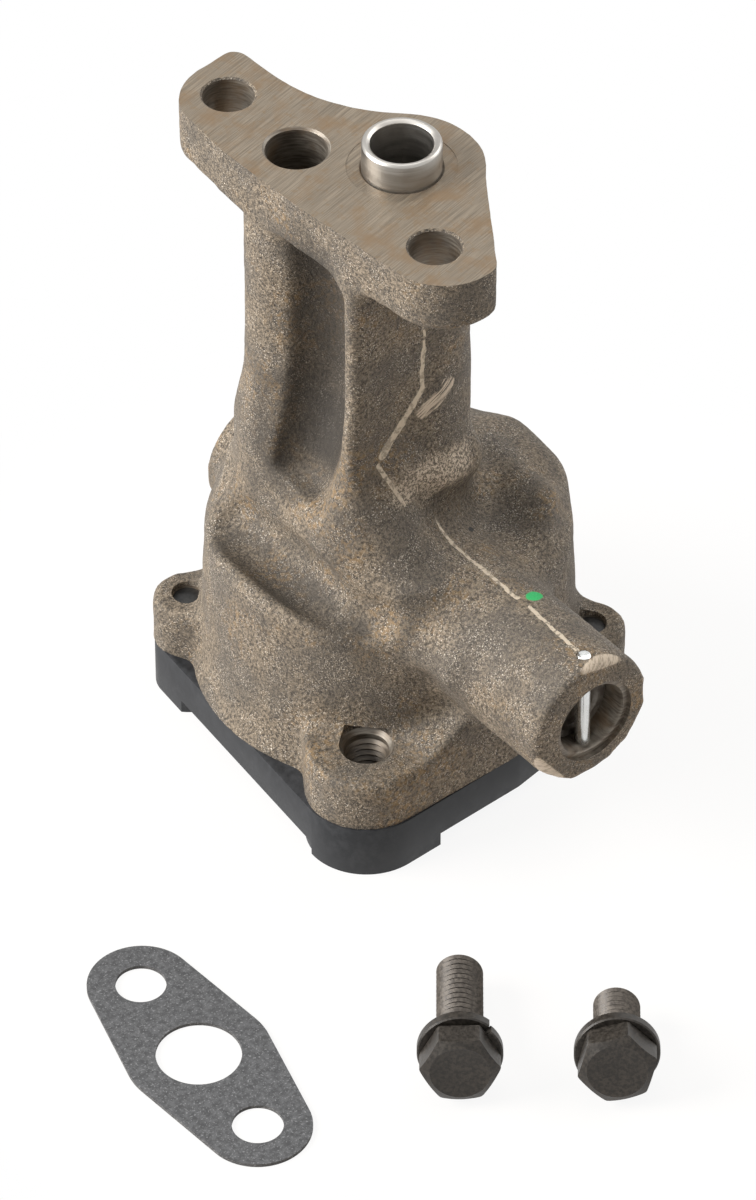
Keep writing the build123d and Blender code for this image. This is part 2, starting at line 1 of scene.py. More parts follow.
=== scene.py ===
import math
import bmesh
import bpy
import numpy as np
import openvdb
from mathutils import Matrix, Vector, noise


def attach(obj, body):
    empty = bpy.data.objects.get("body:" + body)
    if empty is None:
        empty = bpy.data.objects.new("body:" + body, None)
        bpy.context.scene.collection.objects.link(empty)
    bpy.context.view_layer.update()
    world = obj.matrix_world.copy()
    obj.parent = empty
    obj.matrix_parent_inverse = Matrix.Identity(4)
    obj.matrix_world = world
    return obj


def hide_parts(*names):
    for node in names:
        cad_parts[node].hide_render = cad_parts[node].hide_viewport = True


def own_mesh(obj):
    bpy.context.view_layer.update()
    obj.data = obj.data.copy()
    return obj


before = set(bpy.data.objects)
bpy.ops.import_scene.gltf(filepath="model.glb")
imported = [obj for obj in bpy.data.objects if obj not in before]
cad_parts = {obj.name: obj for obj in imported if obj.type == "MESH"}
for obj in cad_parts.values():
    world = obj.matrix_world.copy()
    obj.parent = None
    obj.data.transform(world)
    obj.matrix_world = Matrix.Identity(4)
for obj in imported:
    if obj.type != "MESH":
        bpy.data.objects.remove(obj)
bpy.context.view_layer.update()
print("packed frame loaded")

mm = 0.001
groundDepth = 142.2
groundZ = -groundDepth * mm
flangeTurn = math.radians(1.8)
reliefX, reliefZ = -4, -99.2
pinY = -63.6
boltPitch = 1.5875


# node helpers

def fill(tree, socket, value):
    if isinstance(value, bpy.types.NodeSocket):
        tree.links.new(value, socket)
    elif isinstance(value, tuple) and socket.type == "RGBA" and len(value) == 3:
        socket.default_value = (*value, 1)
    else:
        socket.default_value = value


def addNode(tree, kind, settings=None, **inputs):
    # i0, i1 ... name a socket by its place
    node = tree.nodes.new(kind)
    for key, value in (settings or {}).items():
        setattr(node, key, value)
    for key, value in inputs.items():
        place = key[0] == "i" and key[1:].isdigit()
        fill(tree, node.inputs[int(key[1:])] if place else node.inputs[key], value)
    return node


def newMaterial(name):
    mat = bpy.data.materials.new(name)
    mat.use_nodes = True
    tree = mat.node_tree
    tree.nodes.clear()
    shader = tree.nodes.new("ShaderNodeBsdfPrincipled")
    addNode(tree, "ShaderNodeOutputMaterial", Surface=shader.outputs["BSDF"])
    return mat, tree, shader


def math2(tree, how, a, b=0):
    return addNode(tree, "ShaderNodeMath", {"operation": how}, i0=a, i1=b).outputs[0]


def times(tree, a, b):
    return math2(tree, "MULTIPLY", a, b)


def vector2(tree, how, a, b, out=0):
    return addNode(tree, "ShaderNodeVectorMath", {"operation": how}, i0=a, i1=b).outputs[out]


def scaled(tree, vector, factor):
    return addNode(tree, "ShaderNodeVectorMath", {"operation": "SCALE"}, i0=vector, Scale=factor).outputs[0]


def turned(tree, vector, axis, degrees):
    return addNode(tree, "ShaderNodeVectorRotate", {"rotation_type": axis}, Vector=vector,
                   Angle=math.radians(degrees)).outputs[0]


def remap(tree, value, low, high, toLow=0, toHigh=1, smooth=True):
    node = addNode(tree, "ShaderNodeMapRange", {"interpolation_type": "SMOOTHSTEP" if smooth else "LINEAR"},
                   **{"Value": value, "From Min": low, "From Max": high, "To Min": toLow, "To Max": toHigh})
    return node.outputs["Result"]


def colorMix(tree, fac, a, b, blend="MIX"):
    node = addNode(tree, "ShaderNodeMix", {"data_type": "RGBA", "blend_type": blend})
    sockets = [s for s in node.inputs if s.enabled]
    for socket, value in zip(sockets, (fac, a, b)):
        fill(tree, socket, value)
    return [s for s in node.outputs if s.enabled][0]


def grain(tree, coords, scale, detail=2, rough=0.5):
    return addNode(tree, "ShaderNodeTexNoise", Vector=coords, Scale=scale, Detail=detail,
                   Roughness=rough).outputs["Fac"]


def inMillimetres(tree):
    return scaled(tree, addNode(tree, "ShaderNodeTexCoord").outputs["Object"], 1000)


def startGroup(name, inputs, outputs, kind="ShaderNodeTree"):
    tree = bpy.data.node_groups.new(name, kind)
    for label, sort, *value in inputs:
        socket = tree.interface.new_socket(label, in_out="INPUT", socket_type="NodeSocket" + sort)
        if value:
            socket.default_value = value[0]
    for label, sort in outputs:
        tree.interface.new_socket(label, in_out="OUTPUT", socket_type="NodeSocket" + sort)
    return tree, tree.nodes.new("NodeGroupInput").outputs, tree.nodes.new("NodeGroupOutput").inputs


def endGroup(tree, outs, **values):
    for key, value in values.items():
        fill(tree, outs[key], value)
    return tree


def useGroup(tree, group, **inputs):
    node = tree.nodes.new("ShaderNodeGroup")
    node.node_tree = group
    for key, value in inputs.items():
        fill(tree, node.inputs[key], value)
    return node.outputs


def finishShader(mat, shader, color, rough, metal, height, strength, depth):
    # height is the bump's pattern, depth its full depth in millimetres
    tree = mat.node_tree
    for key, value in (("Base Color", color), ("Roughness", rough), ("Metallic", metal)):
        fill(tree, shader.inputs[key], value)
    bump = addNode(tree, "ShaderNodeBump", Height=height, Strength=strength, Distance=depth * mm)
    tree.links.new(bump.outputs["Normal"], shader.inputs["Normal"])
    return mat


def newObject(name, data):
    obj = bpy.data.objects.new(name, data)
    bpy.context.scene.collection.objects.link(obj)
    return obj


# camera, floor and light

cameraSpec = {"azimuth": -38.71, "elevation": 42.02, "distance": 1585 * mm, "focal": 225,
              "shiftX": 4.734 * mm, "shiftY": -19.44 * mm}


def makeCamera():
    a, e = math.radians(cameraSpec["azimuth"]), math.radians(cameraSpec["elevation"])
    ahead = Vector((-math.sin(a) * math.cos(e), math.cos(a) * math.cos(e), -math.sin(e)))
    right = Vector((math.cos(a), math.sin(a), 0))
    up = right.cross(ahead)
    data = bpy.data.cameras.new("studioCamera")
    data.lens = cameraSpec["focal"]
    data.sensor_width = 36
    data.clip_start, data.clip_end = 0.05, 50
    cam = newObject("studioCamera", data)
    offset = ahead * cameraSpec["distance"] + right * cameraSpec["shiftX"] + up * cameraSpec["shiftY"]
    cam.location = Vector((0, 0, groundZ)) - offset
    cam.rotation_mode = "QUATERNION"
    cam.rotation_quaternion = Matrix((right, up, -ahead)).transposed().to_quaternion()
    bpy.context.scene.camera = cam


lightSpec = {
    "softTop": {"place": (0.1, 0.15, 1.2), "size": 1.2, "power": 7.5},
    "softLeft": {"place": (-0.95, 0.52, 0.5), "size": 0.8, "power": 29},
    "softRight": {"place": (0.98, -0.2, 0.6), "size": 0.8, "power": 6},
}
roomSpec = {"fill": 0.12, "seen": 1}
lightAim = Vector((0, 0, -0.07))
# shadow is kept round each centre, fading out between the two distances
floorSpec = {"side": 3, "color": (0.95, 0.87, 0.78), "glow": 0.9, "shadows": (
    ((-0.005, -0.01, groundZ), 0.06, 0.13), ((-0.099, -0.0586, groundZ), 0.03, 0.05),
    ((-0.055, -0.088, groundZ), 0.03, 0.05), ((-0.032, -0.11, groundZ), 0.03, 0.05))}


def makeLights():
    for name, spec in lightSpec.items():
        data = bpy.data.lights.new(name, "AREA")
        data.shape = "SQUARE"
        data.size = spec["size"]
        data.energy = spec["power"]
        lamp = newObject(name, data)
        lamp.location = spec["place"]
        lamp.rotation_mode = "QUATERNION"
        lamp.rotation_quaternion = (lightAim - lamp.location).to_track_quat("-Z", "Y")


def seenDirectly(tree):
    path = tree.nodes.new("ShaderNodeLightPath")
    first = math2(tree, "MAXIMUM", path.outputs["Is Camera Ray"], path.outputs["Is Glossy Ray"])
    return math2(tree, "MAXIMUM", first, path.outputs["Is Transmission Ray"])


def makeWorld():
    world = bpy.data.worlds.new("paleRoom")
    bpy.context.scene.world = world
    world.use_nodes = True
    tree = world.node_tree
    tree.nodes.clear()
    strength = remap(tree, seenDirectly(tree), 0, 1, roomSpec["fill"], roomSpec["seen"], smooth=False)
    back = addNode(tree, "ShaderNodeBackground", Color=(1, 1, 1), Strength=strength)
    addNode(tree, "ShaderNodeOutputWorld", Surface=back.outputs[0])


def makeFloor():
    side = floorSpec["side"]
    mesh = bpy.data.meshes.new("floor")
    corners = [(a * side, b * side, groundZ) for a, b in ((-1, -1), (1, -1), (1, 1), (-1, 1))]
    mesh.from_pydata(corners, [], [(0, 1, 2, 3)])
    floor = newObject("floor", mesh)
    mat = bpy.data.materials.new("floorWhite")
    mat.use_nodes = True
    tree = mat.node_tree
    tree.nodes.clear()
    plain = addNode(tree, "ShaderNodeBsdfDiffuse", Color=floorSpec["color"])
    glow = addNode(tree, "ShaderNodeEmission", Color=(1, 1, 1))
    # real shadow beside the pieces, plain white away from them
    coords = addNode(tree, "ShaderNodeTexCoord").outputs["Object"]
    near = 0
    for centre, full, none in floorSpec["shadows"]:
        away = vector2(tree, "DISTANCE", coords, centre, out=1)
        near = math2(tree, "MAXIMUM", near, remap(tree, away, full, none, 1, 0))
    light = remap(tree, near, 0, 1, 1, floorSpec["glow"], smooth=False)
    share = times(tree, light, seenDirectly(tree))
    mix = addNode(tree, "ShaderNodeMixShader", i0=share, i1=plain.outputs[0], i2=glow.outputs[0])
    addNode(tree, "ShaderNodeOutputMaterial", Surface=mix.outputs[0])
    mesh.materials.append(mat)


bpy.context.scene.view_settings.view_transform = "Standard"
makeCamera()
makeLights()
makeWorld()
makeFloor()
print("camera, lights, room and floor made")


# shared surface effects, in millimetres of Object coordinates

def makeLineMark():
    # mask of a narrow mark along a straight line from one point to another
    tree, ins, outs = startGroup("lineMark", [
        ("Coords", "Vector"), ("From", "Vector"), ("To", "Vector"), ("Width", "Float"), ("Wander", "Float"),
        ("Sides", "Vector"), ("Soft", "Float")], [("Mask", "Float")])
    shift = addNode(tree, "ShaderNodeTexNoise", Vector=ins["Coords"], Scale=0.35, Detail=2)
    drift = scaled(tree, vector2(tree, "SUBTRACT", shift.outputs["Color"], (0.5, 0.5, 0.5)), ins["Wander"])
    point = vector2(tree, "ADD", ins["Coords"], drift)
    arm = vector2(tree, "MULTIPLY", vector2(tree, "SUBTRACT", point, ins["From"]), ins["Sides"])
    line = vector2(tree, "MULTIPLY", vector2(tree, "SUBTRACT", ins["To"], ins["From"]), ins["Sides"])
    along = math2(tree, "DIVIDE", vector2(tree, "DOT_PRODUCT", arm, line, out=1),
                  vector2(tree, "DOT_PRODUCT", line, line, out=1))
    along = addNode(tree, "ShaderNodeClamp", Value=along).outputs[0]
    away = vector2(tree, "DISTANCE", arm, scaled(tree, line, along), out=1)
    outer = times(tree, ins["Width"], ins["Soft"])
    return endGroup(tree, outs, Mask=remap(tree, away, ins["Width"], outer, 1, 0))


surfaceOutputs = [("Color", "Color"), ("Roughness", "Float"), ("Height", "Float")]


def makeCastSkin():
    # sand-cast iron: fine grain, dark scale, bright specks and faint rust
    tree, ins, outs = startGroup("castSkin", [("Coords", "Vector"), ("Rust", "Float", 0.5)], surfaceOutputs)
    coords = ins["Coords"]
    fine = grain(tree, coords, 3.4, 2, 0.6)
    mid = grain(tree, coords, 1.45, 3, 0.6)
    broad = grain(tree, coords, 0.09, 3, 0.55)
    base = colorMix(tree, remap(tree, mid, 0.3, 0.7), (0.055, 0.044, 0.033), (0.285, 0.228, 0.164))
    base = colorMix(tree, remap(tree, broad, 0.38, 0.62, 0, 0.6), base, (0.09, 0.079, 0.067))
    pits = remap(tree, fine, 0.32, 0.46, 1, 0)
    base = colorMix(tree, times(tree, pits, 0.8), base, (0.022, 0.018, 0.014))
    patches = remap(tree, grain(tree, coords, 0.22, 2), 0.38, 0.62, 0.15, 0.75)
    specks = times(tree, remap(tree, fine, 0.58, 0.67), patches)
    base = colorMix(tree, specks, base, (0.7, 0.62, 0.52))
    rustPlace = remap(tree, grain(tree, coords, 0.055, 4, 0.65), 0.5, 0.68)
    rustGrain = remap(tree, grain(tree, coords, 0.9, 3, 0.6), 0.46, 0.62)
    rust = times(tree, times(tree, rustPlace, rustGrain), ins["Rust"])
    return endGroup(tree, outs, Color=colorMix(tree, rust, base, (0.31, 0.195, 0.085)),
                    Roughness=remap(tree, specks, 0, 0.7, 0.72, 0.38),
                    Height=math2(tree, "ADD", times(tree, fine, 0.45), times(tree, mid, 0.55)))


def makeToolMarks():
    # machined or ground metal: fine straight or turned tool marks with a faint stain
    tree, ins, outs = startGroup("toolMarks", [
        ("Coords", "Vector"), ("Stretch", "Vector", (1, 1, 1)), ("Dark", "Color"),
        ("Light", "Color"), ("Stain", "Float", 0.3)], surfaceOutputs)
    marks = grain(tree, vector2(tree, "MULTIPLY", ins["Coords"], ins["Stretch"]), 1, 3, 0.6)
    cloud = grain(tree, ins["Coords"], 0.12, 4, 0.6)
    base = colorMix(tree, remap(tree, marks, 0.3, 0.7), ins["Dark"], ins["Light"])
    stain = times(tree, remap(tree, cloud, 0.45, 0.68), ins["Stain"])
    return endGroup(tree, outs, Color=colorMix(tree, stain, base, (0.2, 0.13, 0.07)),
                    Roughness=remap(tree, marks, 0.3, 0.7, 0.36, 0.5), Height=marks)


lineMark = makeLineMark()
castSkin = makeCastSkin()
toolMarks = makeToolMarks()


# mesh helpers

def smoothByAngle(mesh, degrees):
    mesh.polygons.foreach_set("use_smooth", np.ones(len(mesh.polygons), bool))
    mesh.set_sharp_from_angle(angle=math.radians(degrees))


def baked(obj, name):
    # the object's mesh with its modifiers applied, as a new object; the old one goes
    bpy.context.view_layer.update()
    mesh = bpy.data.meshes.new_from_object(obj.evaluated_get(bpy.context.evaluated_depsgraph_get()))
    mesh.name = name
    old = obj.data
    bpy.data.objects.remove(obj)
    bpy.data.meshes.remove(old)
    return newObject(name, mesh)


def meshFrom(bm, name):
    mesh = bpy.data.meshes.new(name)
    bm.to_mesh(mesh)
    bm.free()
    return mesh


def readRows(items, key, kind=np.float32):
    # three numbers of every item, as one array
    flat = np.empty(len(items) * 3, kind)
    items.foreach_get(key, flat)
    return flat.reshape(-1, 3)


def mergedCopy(node, name):
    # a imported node's mesh is loose triangles
    bm = bmesh.new()
    bm.from_mesh(bpy.data.objects[node].data)
    bmesh.ops.remove_doubles(bm, verts=bm.verts, dist=2e-6)
    bmesh.ops.dissolve_degenerate(bm, dist=1e-6, edges=bm.edges)
    mesh = meshFrom(bm, name)
    mesh.transform(bpy.data.objects[node].matrix_world)
    return newObject(name, mesh)


def ringOf(bm, radius, height, steps):
    # corners of a level circle about the z axis, in millimetres
    turns = (2 * math.pi * k / steps for k in range(steps))
    return [bm.verts.new((radius * mm * math.cos(a), radius * mm * math.sin(a), height * mm)) for a in turns]


def loft(bm, rings, capped=True):
    # faces from each ring to the next; a ring may be a single point
    for low, high in zip(rings, rings[1:]):
        steps = max(len(low), len(high))
        for k in range(steps):
            n = (k + 1) % steps
            if len(low) == 1:
                bm.faces.new((low[0], high[n], high[k]))
            elif len(high) == 1:
                bm.faces.new((low[k], low[n], high[0]))
            else:
                bm.faces.new((low[k], low[n], high[n], high[k]))
    if capped:
        bm.faces.new(rings[0])
        bm.faces.new(rings[-1][::-1])
    bmesh.ops.recalc_face_normals(bm, faces=bm.faces)


def lathe(name, profile, place=Matrix(), segments=96):
    # closed solid of revolution about +Z from (radius, height) pairs in millimetres
    bm = bmesh.new()
    rings = [ringOf(bm, radius, height, segments if radius else 1) for radius, height in profile]
    loft(bm, rings + rings[:1] if profile[0][0] else rings, capped=False)
    mesh = meshFrom(bm, name)
    mesh.transform(place)
    return newObject(name, mesh)


def joined(name, *pieces):
    # one mesh from several, each face keeping its material
    bm = bmesh.new()
    mats = []
    for piece in pieces:
        first = len(bm.faces)
        slots = []
        for mat in piece.data.materials:
            if mat not in mats:
                mats.append(mat)
            slots.append(mats.index(mat))
        bm.from_mesh(piece.data)
        bm.faces.ensure_lookup_table()
        for face in bm.faces[first:]:
            face.material_index = slots[min(face.material_index, len(slots) - 1)] if slots else 0
    mesh = meshFrom(bm, name)
    for mat in mats:
        mesh.materials.append(mat)
    for piece in pieces:
        bpy.data.objects.remove(piece)
    return newObject(name, mesh)


def at(x, y, z):
    return Matrix.Translation((x * mm, y * mm, z * mm))


# lays a lathe's +Z along -Y
alongTube = Matrix.Rotation(math.radians(90), 4, "X")


def inFlange(x, y):
    # a point of the flange's pattern, turned a little about the drive axis
    c, s = math.cos(flangeTurn), math.sin(flangeTurn)
    return x * c - y * s, x * s + y * c


def placePiece(obj, mat, slot, *nodes, body="housing", smooth=None):
    if smooth:
        smoothByAngle(obj.data, smooth)
    if mat is not None:
        obj.data.materials.clear()
        obj.data.materials.append(mat)
    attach(obj, body)
    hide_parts(*nodes)


# pump body: the cast skin

castSpec = {
    "low": (-52, -76, -136), "high": (52, 60, 8), "voxel": 0.7,
    "fillet": 3.2, "lowFillet": 2.2, "edge": 0.8, "blend": 2, "soften": 1,
    "middle": ((-104, -98), (-50, -42), (-48, -42)), "filleted": ((-119, -108), (-34, -20)),
    "top": -0.9, "base": -129, "mouth": -67.6,
    "drum": (-1.901, 1.624), "tube": (-4.9, -98.4), "outlet": inFlange(-12.2, 18), "frontEar": (-31.851, -28.326),
}
# upright holes: how the skin is filled there first (radius, from, to), which faces are bored metal
# afterwards, and the cutter's radius and height pairs
holeSpecs = {
    "drive": {
        "places": [(0, 0)], "fill": (8.8, -131, 1), "bored": (8.65, -131, -0.31), "steps": 96,
        "profile": [(0, 2), (11.2, 2), (11.2, -0.12), (8.55, -0.3), (8.1, -0.75), (8.1, -19.7), (6.05, -20.6),
                    (6.05, -126), (0, -126)]},
    "outlet": {
        "places": [castSpec["outlet"]], "fill": (7.2, -112, 1), "bored": (6.95, -108.5, -0.01), "steps": 96,
        "profile": [(0, 2), (6.9, 2), (6.9, 0), (6.38, -0.5), (6.38, -107.81), (0, -107.81)]},
    "flangeHole": {
        "places": [inFlange(-11.5, 40.1), inFlange(-11.5, -23.4)], "fill": (6, -12, 1),
        "bored": (5.5, -12.5, -0.01), "steps": 72,
        "profile": [(0, 2), (5.75, 2), (5.75, 0), (5.32, -0.4), (5.32, -11.2), (5.8, -14.5), (0, -14.5)]},
    "earHole": {
        "places": [(-31.851, 31.574), (28.049, -28.326), (28.049, 31.574)], "fill": (4, -131, -118.2),
        "bored": (3.3, -131, -118), "steps": 48,
        "profile": [(0, -134), (3.175, -134), (3.175, -119), (3.9, -117), (0, -116.5)]},
    "frontEar": {
        "places": [castSpec["frontEar"]], "fill": (5.6, -131, -118.2), "bored": (5.75, -131, -118.2), "steps": 72,
        "profile": [(0, -134), (4.76, -134), (4.76, -119.4), (5.6, -118.4), (5.9, -116), (0, -116)]},
    "pocket": {
        "places": [castSpec["drum"]], "fill": (33.2, -131, -108), "bored": (32.55, -131, -110), "steps": 192,
        "profile": [(0, -134), (32.48, -134), (32.48, -110.81), (0, -110.81)]},
}
seatFill, seatBored = (12.4, -1.2, 1), (11.9, -0.35, -0.02)
tubeFill, portFill, portY = (14.6, -15), ((-14, 20, -104), (10, 26, -104), 8), -21.5
reliefBore = [(0, 17), (7.94, 17), (7.94, 66), (8.3, 66.6), (9.5, 66.6), (9.5, 72), (0, 72)]
pinBore = [(0, -82), (1.59, -82), (1.59, -117), (0, -117)]
portBore = [(0, -112), (3, -112), (3, reliefZ), (0, reliefZ)]


class Field:
    # signed distances in millimetres on a grid of voxels, negative inside
    def __init__(self, low, high, step):
        self.step = step
        self.shape = tuple(int(math.ceil((h - l) / step)) + 1 for l, h in zip(low, high))
        self.origin = tuple(int(round(l / step)) for l in low)
        self.low = np.array(self.origin) * step
        axes = [self.low[k] + step * np.arange(self.shape[k], dtype=np.float32) for k in range(3)]
        self.x = axes[0][:, None, None]
        self.y = axes[1][None, :, None]
        self.z = axes[2][None, None, :]
        self.far = 7.0

    def measure(self, points, triangles, quads=()):
        faces = {"triangles": triangles, "quads": quads}
        grid = openvdb.FloatGrid.createLevelSetFromPolygons(
            points.astype(np.float32), transform=openvdb.createLinearTransform(self.step),
            halfWidth=self.far / self.step,
            **{key: rows.astype(np.uint32) for key, rows in faces.items() if len(rows)})
        d = np.full(self.shape, self.far, np.float32)
        grid.copyToArray(d, ijk=self.origin)
        return d

    def surface(self, d, level=0.0):
        grid = openvdb.FloatGrid(self.far)
        grid.copyFromArray(d.astype(np.float32), ijk=self.origin)
        grid.transform = openvdb.createLinearTransform(self.step)
        return grid.convertToPolygons(isovalue=level, adaptivity=0.0)

    def again(self, d, level):
        return self.measure(*self.surface(d, level))

    def closed(self, d, radius):
        # fills inner corners with a fillet of that radius
        return self.again(d, radius) + radius

    def opened(self, d, radius):
        # rounds outer edges to that radius
        return self.again(d, -radius) - radius

    def rod(self, a, b, radius):
        # distance to a round-ended rod between two points
        a, b = np.array(a, float), np.array(b, float)
        line = b - a
        px, py, pz = self.x - a[0], self.y - a[1], self.z - a[2]
        t = np.clip((px * line[0] + py * line[1] + pz * line[2]) / max(line @ line, 1e-9), 0, 1)
        return np.sqrt((px - t * line[0]) ** 2 + (py - t * line[1]) ** 2 + (pz - t * line[2]) ** 2) - radius

    def upright(self, x, y, radius, low, high):
        # distance to an upright cylinder with flat ends
        side = np.hypot(self.x - x, self.y - y) - radius
        return np.maximum(side, np.abs(self.z - (low + high) / 2) - (high - low) / 2)


def smoothMin(a, b, blend):
    h = np.clip(0.5 + 0.5 * (b - a) / blend, 0, 1)
    return b + (a - b) * h - blend * h * (1 - h)


def smoothStep(value, low, high):
    t = np.clip((value - low) / (high - low), 0, 1)
    return t * t * (3 - 2 * t)


def blurred(d, passes):
    for _ in range(passes):
        for axis in range(3):
            d = (np.roll(d, 1, axis) + 2 * d + np.roll(d, -1, axis)) / 4
    return d


def besideLine(x, y, a, b):
    # distance in plan from a straight line's middle part, between its two ends
    bx, by = b[0] - a[0], b[1] - a[1]
    along = np.clip(((x - a[0]) * bx + (y - a[1]) * by) / (bx * bx + by * by), 0, 1)
    return np.hypot(x - a[0] - along * bx, y - a[1] - along * by)


def softCorner(qx, qy, radius):
    # distance round a corner, from the distances to its two sides
    qx, qy = qx + radius, qy + radius
    return np.hypot(np.maximum(qx, 0), np.maximum(qy, 0)) + np.minimum(np.maximum(qx, qy), 0) - radius


def softBox(x, y, left, right, low, high, radius):
    # distance to a rectangle with rounded corners, whose sides may change with height
    return softCorner(np.abs(x - (left + right) / 2) - (right - left) / 2,
                      np.abs(y - (low + high) / 2) - (high - low) / 2, radius)


def roundTube(field, radius, back):
    # distance to the relief tube's cylinder, from its mouth back to a y
    x, z = castSpec["tube"]
    side = np.hypot(field.x - x, field.z - z) - radius
    return np.maximum(side, np.maximum(castSpec["mouth"] - field.y, field.y - back))


def castShape():
    spec = castSpec
    source = mergedCopy("pump_body", "castSource")
    mesh = source.data
    mesh.calc_loop_triangles()
    points = readRows(mesh.vertices, "co") * 1000
    triangles = readRows(mesh.loop_triangles, "vertices", np.int32)
    bpy.data.objects.remove(source)
    field = Field(spec["low"], spec["high"], spec["voxel"])
    d = field.measure(points, triangles)
    # the holes are filled for now and cut again after the casting's fillets
    plugs = [field.upright(*place, *hole["fill"]) for hole in holeSpecs.values() for place in hole["places"]]
    plugs += [field.upright(0.3, -0.3, *seatFill), roundTube(field, *tubeFill), field.rod(*portFill)]
    for plug in plugs:
        d = np.minimum(d, plug)
    # the skin runs on past the machined planes
    base, top = (int(round((spec[key] - field.low[2]) / field.step)) for key in ("base", "top"))
    d[:, :, top:] = d[:, :, top:top + 1]
    d[:, :, :base] = d[:, :, base:base + 1]
    return field, d


# ground flats round the tube's mouth: which way each faces, how far out it lies, where it starts
groundFlats = {
    "above": ((0.15, -0.62, 0.77), -24.3, -58),
    "below": ((-0.6, -0.66, -0.45), 101.5, -58),
}
# the forms between flange and drum, in millimetres; heights without a minus are from the ground
middleSpec = {
    "root": {"low": (72, 13.4), "high": (90, 11)},
    "drive": 14.2,
    "block": {"left": (-25, -19.4), "heights": (74, 92), "right": 0, "front": -13.7, "back": 18, "soft": 3},
    "rib": (-24.2, -6, -13.8, -7.2, 1.8),
    "skirt": {"from": (-17.6, -8), "to": (-14.5, 9), "wide": 15.8, "heights": (46, 88), "lean": 12.8},
    "knob": ((-12.5, -10.2, -64.5), (-1.5, -10.8, -71), (7, -8.5, -73.5), 6),
    "saddle": ((-36, 47), (-31, 50), (-26, 55.5), (-21, 57.4), (-13, 58), (-5, 58.2), (2, 55.6), (8, 51.5),
               (12, 52), (17, 55.8), (22, 57.6), (26, 56.8), (30, 52.5), (33, 49), (38, 45)),
    "saddleReach": 34.6, "tube": (14.7, 41.2),
    "drum": {"radius": 38.3, "height": 52.6, "soft": 5.5},
    "lobe": ((29.5, 4, -94.5), (28.5, -6, -94.5), 8),
    "ramp": ((-18.5, -9, -74.7), (-12.5, -29, -96.4), 9.2, (-12, -40, -98), 9.8),
    "groove": {"from": (-25.5, -2.9), "to": (-20.8, 2), "wide": 7.9, "heights": (58, 98), "lean": 9,
               "top": -13.6, "foot": 68.5},
    "valley": ((-32.8, 17, -86.6), (-32.4, -19, -86.6), (-27, -27, -88), 6.6),
}
saddlePasses = 6


def middleForms(field):
    # the columns' feet, the swelling by the drive column, the saddle over the ports and the tube
    mid = middleSpec
    x, y, h = field.x, field.y, field.z + groundDepth
    ox, oy = castSpec["outlet"]
    (low, wide), (high, slim) = mid["root"].values()
    root = np.hypot(x - ox, y - oy) - (wide + (slim - wide) * smoothStep(h, low, high))
    drive = np.hypot(x, y) - mid["drive"]
    spec = mid["block"]
    wide, slim = spec["left"]
    left = wide + (slim - wide) * smoothStep(h, *spec["heights"])
    block = softBox(x, y, left, spec["right"], spec["front"], spec["back"], spec["soft"])
    spec = mid["skirt"]
    foot, top = spec["heights"]
    skirt = besideLine(x, y, spec["from"], spec["to"])
    skirt = (skirt - spec["wide"] + spec["lean"] * (h - foot) / (top - foot)) * 0.95
    a, b, c, thick = mid["knob"]
    knob = np.minimum(field.rod(a, b, thick), field.rod(b, c, thick))
    columns = smoothMin(smoothMin(root, block, 5), drive, 4)
    columns = np.minimum(columns, softBox(x, y, *mid["rib"]))
    columns = smoothMin(smoothMin(columns, knob, 1.5), skirt, 2)
    dx, dy = castSpec["drum"]
    away = np.hypot(x - dx, y - dy)
    top = np.interp(x.ravel(), *np.array(mid["saddle"]).T)
    for _ in range(saddlePasses):
        top = np.convolve(np.pad(top, 1, mode="edge"), (0.25, 0.5, 0.25), "valid")
    saddle = np.maximum((h - top.reshape(x.shape)) * 0.85, away - mid["saddleReach"])
    spec = mid["drum"]
    drum = softCorner(away - spec["radius"], h - spec["height"], spec["soft"])
    low = smoothMin(drum, saddle, 3)
    low = smoothMin(low, field.rod(*mid["lobe"]), 4)
    low = smoothMin(low, roundTube(field, *mid["tube"]), 2.5)
    low = smoothMin(low, columns, 4.5)
    a, b, c, width = mid["valley"]
    low = -smoothMin(-low, np.minimum(field.rod(a, b, width), field.rod(b, c, width)), castSpec["blend"])
    a, b, wide, c, slim = mid["ramp"]
    return smoothMin(low, np.minimum(field.rod(a, b, wide), field.rod(b, c, slim)), 4)


def shapeSkin(field, d):
    spec, groove = castSpec, middleSpec["groove"]
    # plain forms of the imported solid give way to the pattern's own round the middle
    start, end, front = spec["middle"]
    share = smoothStep(field.z, *start) * (1 - smoothStep(field.z, *end)) * smoothStep(field.y, *front)
    d = d + (np.clip(middleForms(field), -field.far, field.far) - d) * share
    # the hollow between the outlet column and the rib leans out towards its foot
    h = field.z + groundDepth
    out = groove["lean"] * (1 - smoothStep(h, *groove["heights"]))
    hollow = besideLine(field.x + out, field.y, groove["from"], groove["to"]) - groove["wide"]
    hollow = np.maximum(hollow, np.maximum(field.z - groove["top"], groove["foot"] - h))
    d = -smoothMin(-d, hollow, spec["blend"])
    big = field.closed(d, spec["fillet"])
    small = field.closed(d, spec["lowFillet"])
    start, end = spec["filleted"]
    upper = smoothStep(field.z, *start) * (1 - smoothStep(field.z, *end))
    d = field.opened(small + (big - small) * upper, spec["edge"])
    for normal, reach, front in groundFlats.values():
        n = np.array(normal) / np.linalg.norm(normal)
        cut = field.x * n[0] + field.y * n[1] + field.z * n[2]
        d = np.where(field.y < front, np.maximum(d, cut - reach), d)
    return blurred(d, spec["soften"])


def skinMesh(field, d):
    points, triangles, quads = field.surface(d)
    mesh = bpy.data.meshes.new("castSkin")
    mesh.from_pydata(points * mm, [], [*quads.tolist(), *triangles.tolist()])
    mesh.validate()
    return mesh


